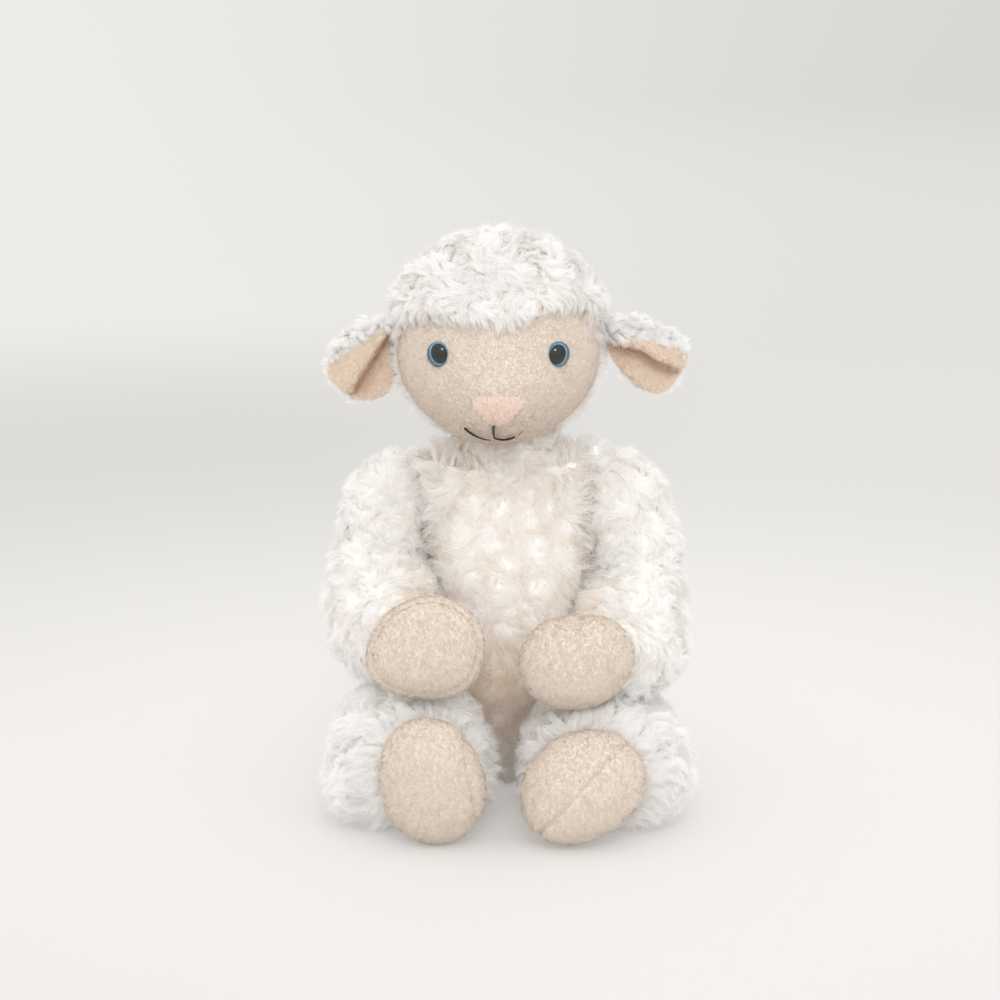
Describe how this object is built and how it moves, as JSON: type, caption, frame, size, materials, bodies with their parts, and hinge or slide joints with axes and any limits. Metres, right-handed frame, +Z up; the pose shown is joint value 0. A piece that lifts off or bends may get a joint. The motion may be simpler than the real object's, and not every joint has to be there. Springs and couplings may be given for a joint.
{
  "type": "plush sheep",
  "caption": "Sitting plush lamb with curly wool, velvety face, hands and feet, drooping ears, blue safety eyes, and a head, arms, legs, ears and tail that turn.",
  "frame": {"origin": "on the floor under the middle of the sitting sheep's box", "axes": "+Z up, -Y the way the face looks, +X to the sheep's own left"},
  "size_m": [0.1692, 0.1707, 0.2472],
  "materials": {
    "wool": "curly cream wool pile on a knitted backing",
    "velvet": "short beige velvety pile",
    "pink_velvet": "short pale pink velvety pile",
    "stuffing": "loose polyester fibre filling",
    "pellet_bag": "thin woven bag of plastic pellets",
    "eye_plastic": "clear gloss dome over a blue ring and a black pupil",
    "washer_plastic": "moulded translucent white"
  },
  "bodies": {
    "torso": {"torso_skin": "wool", "torso_stuffing": "stuffing", "seat_pellet_bag": "pellet_bag"},
    "neck": {"neck_sleeve": "wool", "neck_stuffing": "stuffing"},
    "head": {"head_wool": "wool", "face_panel": "velvet", "head_stuffing": "stuffing", "nose_patch": "pink_velvet", "eye_left": "eye_plastic", "eye_right": "eye_plastic", "eye_washer_left": "washer_plastic", "eye_washer_right": "washer_plastic"},
    "ear_left": {"ear_wool_left": "wool", "ear_lining_left": "velvet"},
    "ear_right": {"ear_wool_right": "wool", "ear_lining_right": "velvet"},
    "arm_left": {"arm_sleeve_left": "wool", "arm_stuffing_left": "stuffing", "hand_left": "velvet", "hand_stuffing_left": "stuffing"},
    "arm_right": {"arm_sleeve_right": "wool", "arm_stuffing_right": "stuffing", "hand_right": "velvet", "hand_stuffing_right": "stuffing"},
    "leg_left": {"leg_sleeve_left": "wool", "leg_stuffing_left": "stuffing", "foot_left": "velvet", "foot_pellet_bag_left": "pellet_bag"},
    "leg_right": {"leg_sleeve_right": "wool", "leg_stuffing_right": "stuffing", "foot_right": "velvet", "foot_pellet_bag_right": "pellet_bag"},
    "tail": {"tail_wool": "wool"}
  },
  "joints": [
    {"name": "head_turn", "type": "hinge", "parent": "torso", "child": "neck", "pos_m": [0.00092, 0.0236, 0.146], "axis": [0, 0, 1], "range_deg": [-40, 40]},
    {"name": "head_nod", "type": "hinge", "parent": "neck", "child": "head", "pos_m": [0.00092, 0.0236, 0.146], "axis": [1, 0, 0], "range_deg": [-15, 12]},
    {"name": "ear_left_flap", "type": "hinge", "parent": "head", "child": "ear_left", "pos_m": [0.04712, 0.0146, 0.205], "axis": [0, -1, 0], "range_deg": [-10, 45]},
    {"name": "ear_right_flap", "type": "hinge", "parent": "head", "child": "ear_right", "pos_m": [-0.05268, 0.0146, 0.205], "axis": [0, 1, 0], "range_deg": [-10, 45]},
    {"name": "arm_left_swing", "type": "hinge", "parent": "torso", "child": "arm_left", "pos_m": [0.03492, 0.03359, 0.127], "axis": [-1, 0, 0], "range_deg": [0, 55]},
    {"name": "arm_right_swing", "type": "hinge", "parent": "torso", "child": "arm_right", "pos_m": [-0.03308, 0.03359, 0.127], "axis": [-1, 0, 0], "range_deg": [0, 55]},
    {"name": "leg_left_splay", "type": "hinge", "parent": "torso", "child": "leg_left", "pos_m": [0.04292, -0.0004, 0.024], "axis": [0, 0, 1], "range_deg": [0, 30]},
    {"name": "leg_right_splay", "type": "hinge", "parent": "torso", "child": "leg_right", "pos_m": [-0.04108, -0.0004, 0.024], "axis": [0, 0, -1], "range_deg": [0, 30]},
    {"name": "tail_lift", "type": "hinge", "parent": "torso", "child": "tail", "pos_m": [0.00092, 0.07715, 0.047], "axis": [1, 0, 0], "range_deg": [0, 50]}
  ]
}
